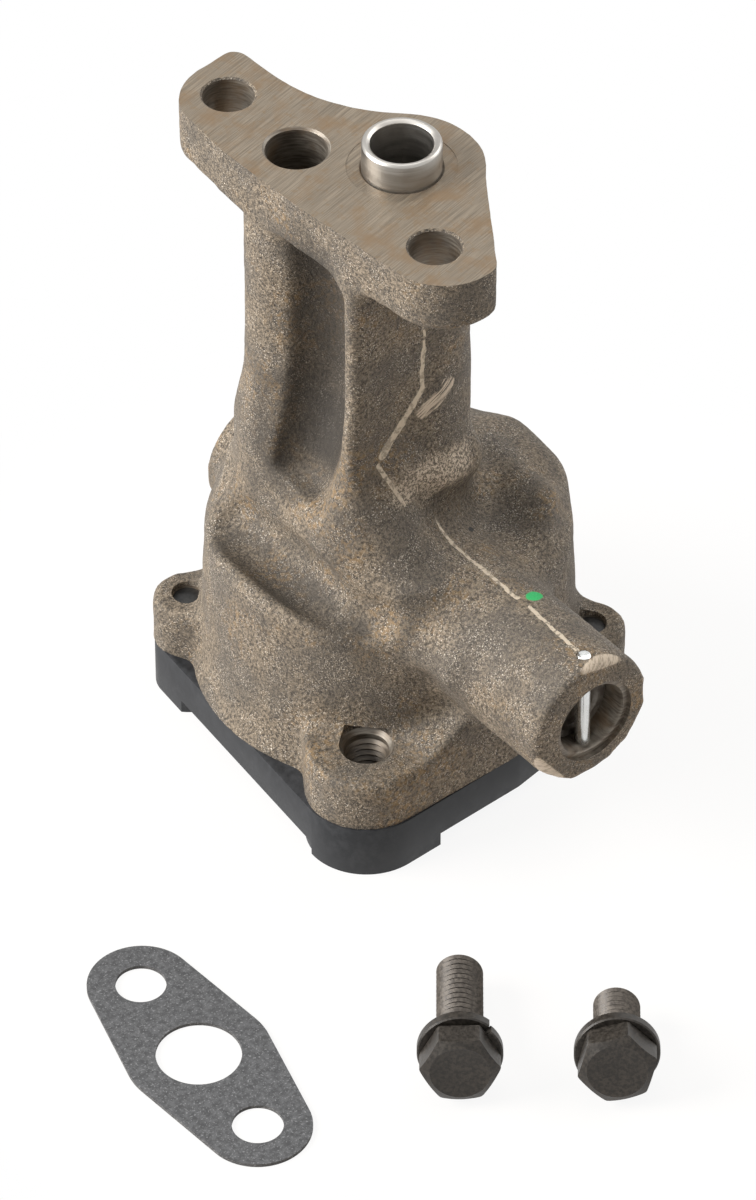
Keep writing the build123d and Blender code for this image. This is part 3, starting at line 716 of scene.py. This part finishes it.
def roughen(mesh):
    # sand-cast unevenness, seeded by place alone
    points, normals = readRows(mesh.vertices, "co"), readRows(mesh.vertex_normals, "vector")
    lift = np.empty(len(points), np.float32)
    for k, point in enumerate(points * 1000):
        place = Vector(point)
        lift[k] = 0.09 * noise.noise(place * 0.16) + 0.07 * noise.noise(place * 0.6)
    mesh.vertices.foreach_set("co", (points + normals * lift[:, None] * mm).reshape(-1))
    mesh.update()


def bodyCutters():
    bores = [lathe("cutBore", hole["profile"], at(*place, 0), hole["steps"])
             for hole in holeSpecs.values() for place in hole["places"]]
    pocket = bores.pop()
    bores.append(lathe("cutRelief", reliefBore, at(reliefX, 0, reliefZ) @ alongTube))
    pin = lathe("cutPin", pinBore, at(reliefX, pinY, 0), 32)
    planes = [lathe("cutPort", portBore, at(reliefX, portY, 0), 32)]
    for name, low, high in (("cutTop", 0, 14), ("cutBase", -146, -129.9)):
        bm = bmesh.new()
        bmesh.ops.create_cube(bm, size=0.3)
        bm.transform(at(0, 0, (low + high) / 2) @ Matrix.Diagonal((1, 1, (high - low) / 300, 1)))
        planes.append(newObject(name, meshFrom(bm, name)))
    # the pieces of one cutter don't touch each other
    return [joined("cutPlanes", *planes), joined("cutBores", *bores), joined("cutPockets", pocket, pin)]


def makeBody():
    field, d = castShape()
    mesh = skinMesh(field, shapeSkin(field, d))
    roughen(mesh)
    body = newObject("castBody", mesh)
    cutters = bodyCutters()
    for cutter in cutters:
        cut = body.modifiers.new(cutter.name, "BOOLEAN")
        cut.operation = "DIFFERENCE"
        cut.solver = "MANIFOLD"
        cut.object = cutter
    body = baked(body, "castBody")
    for cutter in cutters:
        bpy.data.objects.remove(cutter)
    print("machined body has", len(body.data.polygons), "faces")
    return body


def faceKinds(mesh):
    # 0 cast skin, 1 machined top, 2 bored walls and other cut faces
    c, n = readRows(mesh.polygons, "center") * 1000, readRows(mesh.polygons, "normal")
    kinds = np.zeros(len(c), np.int32)
    kinds[(c[:, 2] > -0.32) & (n[:, 2] > 0.98)] = 1
    limits = [(*place, *hole["bored"]) for hole in holeSpecs.values() for place in hole["places"]]
    for x, y, radius, low, high in (*limits, (0, 0, *seatBored)):
        away = np.hypot(c[:, 0] - x, c[:, 1] - y)
        kinds[(away < radius) & (c[:, 2] > low) & (c[:, 2] < high) & (kinds == 0)] = 2
    away = np.hypot(c[:, 0] - reliefX, c[:, 2] - reliefZ)
    kinds[(away < 9.55) & (c[:, 1] < -16) & (kinds == 0)] = 2
    kinds[(c[:, 2] < -129.85) & (n[:, 2] < -0.98)] = 2
    return kinds


body = makeBody()


# pump body: finishes

onTube, onColumn = (1, 1, 0.1), (1, 0.12, 1)
# marks on the cast skin: start, end, half width, wander, how little of it shows between breaks
castMarks = {
    "tubeFlashBack": ((-4.6, -14.5, -83.7), (-3.6, -42, -83.9), 0.42, 1.2, 0.35),
    "tubeFlashFront": ((-3.6, -46, -83.9), (-4.3, -62, -83.9), 0.4, 1.2, 0.15),
    "columnFlashTop": ((-5, -14, -12), (-5.2, -14, -36), 0.28, 1, 0.2),
    "columnFlashLow": ((-5.2, -14, -36), (-5.8, -14, -45.5), 0.5, 1.2, 0.5),
    "columnFlashTurn": ((-5.8, -14, -45.5), (-10.9, -14, -52.1), 0.6, 1, 0.5),
    "columnFlashEnd": ((-10.9, -14, -52.1), (-16.2, -14, -58), 0.85, 1, 0.5),
    "chippedEdge": ((-17.3, -14, -60), (-13.2, -14, -70.5), 0.45, 1, 0.3),
    "tubePit": ((3.3, -18.6, -84), (4, -18.2, -84), 0.45, 0.4, 1),
}
# painted shade in the groove, under the flange, below the knob and in the valley: start, end, half width, strength
paintedShades = {
    "groove": ((-17, 1, -12), (-17.5, 0.5, -60), 6.5, 0.72),
    "grooveFoot": ((-17.5, 0.5, -58), (-23, 5, -72), 4.5, 0.5),
    "underFlange": ((-20, 6, -13), (-4, -14, -13), 3, 0.35),
    "outletRoot": ((-24.5, 11, -56), (-26.5, 9, -66), 4.5, 0.5),
    "belowKnob": ((-4, -17.5, -78.5), (9, -13, -82), 3.6, 0.38),
    "valley": ((-32.6, 14, -93), (-31, -20, -93), 3.2, 0.45),
}
groundPatch = ((-5.6, -14.8, -51.4), (0.6, -14.5, -47.6), 1.5, 2.5, onColumn)
knobChips = ((-12, -15.5, -67), (4, -16, -69.5), 1.8, 6, (1, 0.3, 1), 3)
paintDab = ((-1.1, -43.4, -84.4), (0.7, -43, -84.6), 1.15, 1.6, onTube)
# "hollow" is the dark colour of the painted shade
castTints = {"fin": (0.58, 0.49, 0.37), "pit": (0.01, 0.008, 0.006), "hollow": (0.03, 0.025, 0.02),
             "fresh": (0.56, 0.46, 0.35), "paint": (0.03, 0.45, 0.13)}


def markMask(tree, coords, start, end, width, wander, sides=(1, 1, 1), soft=1.35):
    return useGroup(tree, lineMark, Coords=coords, From=start, To=end, Width=width, Wander=wander, Sides=sides,
                    Soft=soft)["Mask"]


def freshMetal(tree, coords):
    # freshly ground metal: a streaked patch on the column, flats round the tube's mouth, chips on the knob
    across = vector2(tree, "MULTIPLY", turned(tree, coords, "Y_AXIS", 31), (0.18, 0.6, 3.2))
    streaks = grain(tree, across, 1, 2, 0.6)
    fresh = times(tree, markMask(tree, coords, *groundPatch), remap(tree, streaks, 0.42, 0.52))
    y = addNode(tree, "ShaderNodeSeparateXYZ", Vector=coords).outputs[1]
    for normal, reach, front in groundFlats.values():
        out = vector2(tree, "DOT_PRODUCT", coords, tuple(Vector(normal).normalized()), out=1)
        past = math2(tree, "ABSOLUTE", math2(tree, "SUBTRACT", out, reach))
        flat = times(tree, remap(tree, past, 0.22, 0.42, 1, 0), math2(tree, "LESS_THAN", y, front))
        flat = times(tree, flat, remap(tree, streaks, 0.36, 0.56, 0.45, 1))
        fresh = math2(tree, "MAXIMUM", fresh, flat)
    broken = remap(tree, grain(tree, coords, 1.7, 3, 0.7), 0.46, 0.56, 0.1, 1)
    return math2(tree, "MAXIMUM", fresh, times(tree, markMask(tree, coords, *knobChips), broken))


def castIron():
    mat, tree, shader = newMaterial("castIron")
    coords = inMillimetres(tree)
    skin = useGroup(tree, castSkin, Coords=coords, Rust=0.55)
    color, rough = skin["Color"], skin["Roughness"]
    # painted shade darkens the groove, the band under the flange and the other hollows
    for start, end, width, strength in paintedShades.values():
        mask = markMask(tree, coords, start, end, width, 3, soft=1.9)
        color = colorMix(tree, times(tree, mask, strength), color, castTints["hollow"])
    breaks = grain(tree, coords, 0.9, 2)
    for name, (start, end, width, wander, least) in castMarks.items():
        sides = onTube if name.startswith("tube") else onColumn
        mask = markMask(tree, coords, start, end, width, wander, sides)
        broken = times(tree, mask, remap(tree, breaks, 0.38, 0.52, least, 1))
        color = colorMix(tree, broken, color, castTints["pit" if name == "tubePit" else "fin"])
        rough = math2(tree, "MINIMUM", rough, remap(tree, broken, 0, 1, 1, 0.42))
    fresh = freshMetal(tree, coords)
    color = colorMix(tree, fresh, color, castTints["fresh"])
    rough = math2(tree, "MINIMUM", rough, remap(tree, fresh, 0, 1, 1, 0.4))
    dab = markMask(tree, coords, *paintDab)
    color = colorMix(tree, dab, color, castTints["paint"])
    shader.inputs["Specular IOR Level"].default_value = 0.45
    metal = times(tree, math2(tree, "SUBTRACT", 1, dab), 0.25)
    return finishShader(mat, shader, color, rough, metal, skin["Height"], 0.85, 0.55)


def cutMaterial(name, stretch, dark, light, stain, metal, depth):
    mat, tree, shader = newMaterial(name)
    marks = useGroup(tree, toolMarks, Coords=inMillimetres(tree), Stretch=stretch, Dark=dark, Light=light, Stain=stain)
    return finishShader(mat, shader, marks["Color"], marks["Roughness"], metal, marks["Height"], 0.5, depth)


def machinedTop():
    # the mounting face: fine diagonal tool marks, dull grey with a brown stain
    mat, tree, shader = newMaterial("machinedTop")
    coords = inMillimetres(tree)
    marks = useGroup(tree, toolMarks, Coords=turned(tree, coords, "Z_AXIS", 77), Stretch=(4.5, 0.09, 1),
                     Dark=(0.15, 0.122, 0.09), Light=(0.27, 0.222, 0.165), Stain=0.7)
    stain = remap(tree, grain(tree, coords, 0.5, 4, 0.7), 0.52, 0.72, 0, 0.5)
    color = colorMix(tree, stain, marks["Color"], (0.2, 0.125, 0.06))
    return finishShader(mat, shader, color, marks["Roughness"], 0.55, marks["Height"], 0.4, 0.08)


def dressBody(body):
    mesh = body.data
    smoothByAngle(mesh, 32)
    mesh.materials.clear()
    bored = cutMaterial("boredIron", (0.25, 0.25, 2.2), (0.11, 0.09, 0.07), (0.26, 0.23, 0.19), 0.6, 0.5, 0.05)
    for mat in (castIron(), machinedTop(), bored):
        mesh.materials.append(mat)
    kinds = faceKinds(mesh)
    mesh.polygons.foreach_set("material_index", kinds)
    mesh.polygons.foreach_set("use_smooth", kinds != 1)
    mesh.update()
    placePiece(body, None, "cast_body", "pump_body")


dressBody(body)
print("body dressed")


# threads, by geometry nodes

def makeThreadTree():
    # a V ridge along a spiral about +Z, from the start height upwards; lengths in metres
    tree, ins, outs = startGroup("screwThread", [
        ("Geometry", "Geometry"), ("Radius", "Float", 0.004), ("Pitch", "Float", boltPitch * mm),
        ("Turns", "Float", 10.0), ("Ridge", "Float", 0.0006), ("Steps", "Int", 48), ("Finish", "Material")],
        [("Geometry", "Geometry")], "GeometryNodeTree")
    spiral = addNode(tree, "GeometryNodeCurveSpiral", Resolution=ins["Steps"], Rotations=ins["Turns"], **{
        "Height": times(tree, ins["Pitch"], ins["Turns"]), "Start Radius": ins["Radius"], "End Radius": ins["Radius"]})
    upright = addNode(tree, "GeometryNodeSetCurveNormal", {"mode": "Z_UP"}, Curve=spiral.outputs[0])
    profile = addNode(tree, "GeometryNodeCurvePrimitiveCircle", Resolution=4, Radius=ins["Ridge"])
    ridge = addNode(tree, "GeometryNodeCurveToMesh", Curve=upright.outputs[0], **{
        "Profile Curve": profile.outputs[0], "Fill Caps": True})
    whole = addNode(tree, "GeometryNodeRealizeInstances", Geometry=ridge.outputs[0])
    dressed = addNode(tree, "GeometryNodeSetMaterial", Geometry=whole.outputs[0], Material=ins["Finish"])
    return endGroup(tree, outs, Geometry=dressed.outputs[0])


threadTree = makeThreadTree()


def threadPiece(name, mat, place, **numbers):
    base = newObject(name, bpy.data.meshes.new(name))
    maker = base.modifiers.new("thread", "NODES")
    maker.node_group = threadTree
    given = {**numbers, "Finish": mat}
    for item in threadTree.interface.items_tree:
        if item.in_out == "INPUT" and item.name in given:
            maker[item.identifier] = given[item.name]
    piece = baked(base, name)
    piece.data.transform(place)
    return piece


# loose bolts and their split washers

def speckled(name, dark, light, rough, metal, size, strength, depth, wear=0):
    # a fine mottle from dark to light, rubbed brighter on sharp corners where it wears
    mat, tree, shader = newMaterial(name)
    coords = inMillimetres(tree)
    fine = grain(tree, coords, size, 3, 0.65)
    cloud = grain(tree, coords, 0.13, 3, 0.6)
    color = colorMix(tree, remap(tree, fine, 0.34, 0.68), dark, light)
    color = colorMix(tree, remap(tree, cloud, 0.35, 0.7, 0, 0.45), color, dark)
    if wear:
        corner = addNode(tree, "ShaderNodeNewGeometry").outputs["Pointiness"]
        rubbed = times(tree, remap(tree, corner, 0.56, 0.68), remap(tree, fine, 0.4, 0.6, 0.3, 1))
        color = colorMix(tree, times(tree, rubbed, wear), color, (0.16, 0.14, 0.12))
    rough = remap(tree, fine, 0.3, 0.7, rough - 0.08, rough + 0.08)
    return finishShader(mat, shader, color, rough, metal, fine, strength, depth)


blackOxide = speckled("blackOxide", (0.018, 0.015, 0.012), (0.048, 0.04, 0.032), 0.42, 0.3, 1.3, 0.3, 0.1, 0.5)
# a lighter copy of the black oxide for the thread ridges: painted highlight on the ridges
wornOxide = speckled("wornOxide", (0.045, 0.037, 0.03), (0.125, 0.105, 0.085), 0.45, 0.3, 1.3, 0.2, 0.06, 0.5)


def hexHead(name, spec, steps=96):
    # head below z = 0, its free end chamfered to a circle with a shallow hollow in it
    apothem, height = spec["across"] / 2, spec["height"]
    flatTop = apothem * spec["topShare"]
    bm = bmesh.new()
    rings = []
    for slope in (0, math.tan(math.radians(spec["chamfer"]))):
        ring = []
        for k in range(steps):
            a = 2 * math.pi * k / steps
            lean = (a + math.pi / 6) % (math.pi / 3) - math.pi / 6
            radius = min(apothem / math.cos(lean), apothem / math.cos(math.pi / 6) - spec["blunt"])
            z = -(height - max(0, radius - flatTop) * slope) if slope else 0
            ring.append(bm.verts.new((radius * mm * math.cos(a), radius * mm * math.sin(a), z * mm)))
        rings.append(ring)
    rings.append(ringOf(bm, flatTop, -height, steps))
    rings.append(ringOf(bm, flatTop - spec["rim"], spec["hollow"] - height, steps))
    loft(bm, rings)
    return newObject(name, meshFrom(bm, name))


def splitWasher(name, spec, split, steps=90):
    # a ring cut once, its ends sprung apart along the axis
    inner, outer, thick, soft = spec["inner"], spec["outer"], spec["thick"], spec["soft"]
    profile = [(inner, soft), (inner + soft, 0), (outer - soft, 0), (outer, soft), (outer, thick - soft),
               (outer - soft, thick), (inner + soft, thick), (inner, thick - soft)]
    bm = bmesh.new()
    rings = []
    opening = spec["gap"] / outer
    for k in range(steps + 1):
        a = math.radians(split) + opening / 2 + (2 * math.pi - opening) * k / steps
        lift = spec["spread"] * (k / steps - 0.5)
        rings.append([bm.verts.new((r * mm * math.cos(a), r * mm * math.sin(a), (z + lift) * mm)) for r, z in profile])
    loft(bm, rings)
    return newObject(name, meshFrom(bm, name))


boltSpecs = {
    "long_bolt": {"x": -63.2, "y": -97.4, "turn": 50.9, "length": 28.6, "headTurn": 28, "split": 134},
    "short_bolt": {"x": -38.8, "y": -117, "turn": 50, "length": 19.05, "headTurn": 14, "split": 265},
}
headSpec = {"across": 14.3, "height": 6.2, "topShare": 0.85, "chamfer": 34, "blunt": 0.12, "rim": 0.5, "hollow": 0.16}
washerSpec = {"inner": 4.9, "outer": 8.65, "thick": 2.4, "soft": 0.28, "gap": 0.5, "spread": 1.5}
shankSpec = {"radius": 4.76, "neck": 4.5, "neckEnd": 3, "core": 3.6, "tip": 3.2, "thread": 4.19, "ridge": 0.57,
             "threadStart": 3.2, "plain": 4.6}


def lyingPlace(spec):
    # a bolt lies on its washer's edge and its tip; z runs from the head to the tip
    reach = washerSpec["outer"]
    droop = math.asin((reach - shankSpec["radius"]) / spec["length"])
    turn = math.radians(spec["turn"])
    ahead = Vector((math.cos(turn) * math.cos(droop), math.sin(turn) * math.cos(droop), -math.sin(droop)))
    side = Vector((-math.sin(turn), math.cos(turn), 0))
    place = Matrix((side, ahead.cross(side), ahead)).transposed().to_4x4()
    place.translation = Vector((spec["x"] * mm, spec["y"] * mm, groundZ + reach * math.cos(droop) * mm))
    return place


def makeBolt(node, spec):
    place, length, shank = lyingPlace(spec), spec["length"], shankSpec
    neck, slim, step = shank["neck"], shank["core"], shank["neckEnd"]
    core = lathe(node + "Core", [(0, -0.5), (neck, -0.5), (neck, step), (slim, step + 0.6), (slim, length - 0.6),
                                 (shank["tip"], length), (0, length)])
    head = hexHead(node + "Head", headSpec)
    head.data.transform(Matrix.Rotation(math.radians(spec["headTurn"]), 4, "Z"))
    for piece in (core, head):
        piece.data.materials.append(blackOxide)
        piece.data.transform(place)
    # the thread's ridges take the lighter oxide, a painted highlight
    thread = threadPiece(node + "Thread", wornOxide, place @ at(0, 0, shank["threadStart"]),
                         Radius=shank["thread"] * mm, Turns=(length - shank["plain"]) / boltPitch,
                         Ridge=shank["ridge"] * mm)
    bolt = joined(node + "Visual", head, core, thread)
    placePiece(bolt, None, "black_oxide", node, smooth=25)
    washer = splitWasher(node + "WasherVisual", washerSpec, spec["split"])
    washer.data.transform(place)
    placePiece(washer, blackOxide, "black_oxide", node + "_washer", smooth=30)


for node, spec in boltSpecs.items():
    makeBolt(node, spec)
print("bolts and washers made")


# turned and pressed pieces

def turnedSteel(name, color, rough, stretch, depth=0.04):
    mat, tree, shader = newMaterial(name)
    dark = tuple(c * 0.86 for c in color)
    marks = useGroup(tree, toolMarks, Coords=inMillimetres(tree), Stretch=stretch, Dark=dark, Light=color, Stain=0.12)
    rough = remap(tree, marks["Height"], 0.3, 0.7, rough - 0.06, rough + 0.08)
    return finishShader(mat, shader, marks["Color"], rough, 1, marks["Height"], 0.35, depth)


def roundedCopy(node, name, width):
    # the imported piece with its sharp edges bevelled
    obj = mergedCopy(node, name)
    bm = bmesh.new()
    bm.from_mesh(obj.data)
    bmesh.ops.dissolve_limit(bm, angle_limit=math.radians(0.5), verts=bm.verts, edges=bm.edges)
    bm.to_mesh(obj.data)
    bm.free()
    edge = obj.modifiers.new("edge", "BEVEL")
    edge.width = width * mm
    edge.segments = 2
    edge.limit_method = "ANGLE"
    edge.angle_limit = math.radians(35)
    edge.use_clamp_overlap = True
    return baked(obj, name)


sleeveSteel = turnedSteel("turnedSteel", (0.43, 0.41, 0.38), 0.34, (0.1, 0.1, 3.5), 0.012)
plateSteel = speckled("phosphate", (0.012, 0.013, 0.015), (0.03, 0.031, 0.034), 0.52, 0.25, 0.5, 0.1, 0.06)
screwSteel = speckled("screwOxide", (0.02, 0.02, 0.02), (0.05, 0.048, 0.045), 0.4, 0.5, 0.8, 0.15, 0.06, 0.4)
zincPin = turnedSteel("zincPin", (0.74, 0.75, 0.74), 0.26, (2, 2, 0.2), 0.03)
plugSteel = speckled("plugSteel", (0.1, 0.085, 0.07), (0.21, 0.19, 0.165), 0.42, 0.7, 0.5, 0.12, 0.06)
rotorIron = speckled("rotorIron", (0.2, 0.2, 0.2), (0.34, 0.34, 0.345), 0.38, 0.8, 0.7, 0.1, 0.04)
pistonSteel = turnedSteel("pistonSteel", (0.52, 0.52, 0.52), 0.28, (0.2, 3, 0.2))
springSteel = speckled("springSteel", (0.1, 0.1, 0.105), (0.2, 0.2, 0.21), 0.35, 0.9, 0.9, 0.08, 0.03)
latheSpecs = {
    "locating_sleeve": {
        "name": "sleeveVisual", "place": at(0, 0, 0), "steps": 128, "smooth": 28,
        "finish": sleeveSteel, "slot": "turned_steel", "profile": [
            (6.4, -19.7), (8, -19.7), (8.1, -19.5), (8.1, 5.75), (8.06, 5.85), (7.66, 6.26), (7.58, 6.3), (7.1, 6.3),
            (7.02, 6.27), (6.44, 5.75), (6.4, 5.6)]},
    # its top end is domed and stands just clear of the tube
    "relief_pin": {
        "name": "pinVisual", "place": at(reliefX, pinY, 0), "steps": 40, "smooth": 40,
        "finish": zincPin, "slot": "zinc_pin", "profile": [
            (0, -113.1), (1.2, -113.1), (1.59, -112.7), (1.59, -84.2), (1.25, -83.82), (0.7, -83.71), (0, -83.7)]},
    # a cup with its dished end towards the mouth
    "relief_plug": {
        "name": "plugVisual", "place": at(reliefX, 0, reliefZ) @ alongTube, "steps": 96, "smooth": 30,
        "finish": plugSteel, "slot": "plug_steel", "profile": [
            (0, 60.9), (5.4, 60.7), (6.1, 61.3), (7.5, 61.5), (7.9, 61.1), (7.9, 57), (6, 57), (6, 59.9),
            (0, 59.9)]},
}
for node, spec in latheSpecs.items():
    piece = lathe(spec["name"], spec["profile"], spec["place"], spec["steps"])
    placePiece(piece, spec["finish"], spec["slot"], node, smooth=spec["smooth"])


placePiece(roundedCopy("cover_plate", "plateVisual", 0.35), plateSteel, "cover", "cover_plate", smooth=35)
placePiece(roundedCopy("cover_screws", "screwVisual", 0.5), screwSteel, "black_oxide", "cover_screws", smooth=35)
springSpec = {"end": -60.6, "length": 39.6, "radius": 4.6, "wire": 0.75, "turns": 7}


def makeSpring():
    # seven turns between the piston and the plug
    spec = springSpec
    wire, turns = spec["wire"], spec["turns"]
    place = at(reliefX, spec["end"] + wire, reliefZ) @ Matrix.Rotation(math.radians(-90), 4, "X")
    coil = threadPiece("springVisual", springSteel, place, Radius=spec["radius"] * mm, Turns=float(turns),
                       Pitch=(spec["length"] - 2 * wire) / turns * mm, Ridge=wire * mm)
    placePiece(coil, None, "spring_steel", "relief_spring", smooth=95)
    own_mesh(coil)


earThread = {"low": -129.2, "radius": 4.82, "turns": 5.5, "ridge": 0.72}


def makeFrontThread():
    # the pickup bolt's thread in the front ear
    spec = earThread
    iron = cutMaterial("threadIron", (0.25, 0.25, 2.2), (0.05, 0.042, 0.034), (0.17, 0.145, 0.115), 0.3, 0.5, 0.05)
    thread = threadPiece("earThread", iron, at(*castSpec["frontEar"], spec["low"]), Radius=spec["radius"] * mm,
                         Turns=spec["turns"], Ridge=spec["ridge"] * mm)
    smoothByAngle(thread.data, 25)
    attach(thread, "housing")


makeSpring()
makeFrontThread()
print("sleeve, pin, plug, plate, screws, spring and thread made")


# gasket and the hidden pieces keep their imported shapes

def fibre():
    mat, tree, shader = newMaterial("fibre")
    coords = inMillimetres(tree)
    fine = grain(tree, coords, 2.2, 2, 0.6)
    mid = grain(tree, coords, 0.7, 3, 0.7)
    color = colorMix(tree, remap(tree, mid, 0.35, 0.65), (0.052, 0.052, 0.053), (0.1, 0.1, 0.102))
    color = colorMix(tree, remap(tree, fine, 0.56, 0.7, 0, 0.7), color, (0.26, 0.26, 0.262))
    return finishShader(mat, shader, color, 0.9, 0, fine, 0.3, 0.15)


packed = {"drive_shaft": sleeveSteel, "inner_rotor": rotorIron, "outer_rotor": rotorIron, "rotor_pin": sleeveSteel,
          "relief_piston": pistonSteel, "pickup_gasket": fibre()}
for name, mat in packed.items():
    mesh = bpy.data.objects[name].data
    mesh.materials.clear()
    mesh.materials.append(mat)
print("packed pieces dressed")
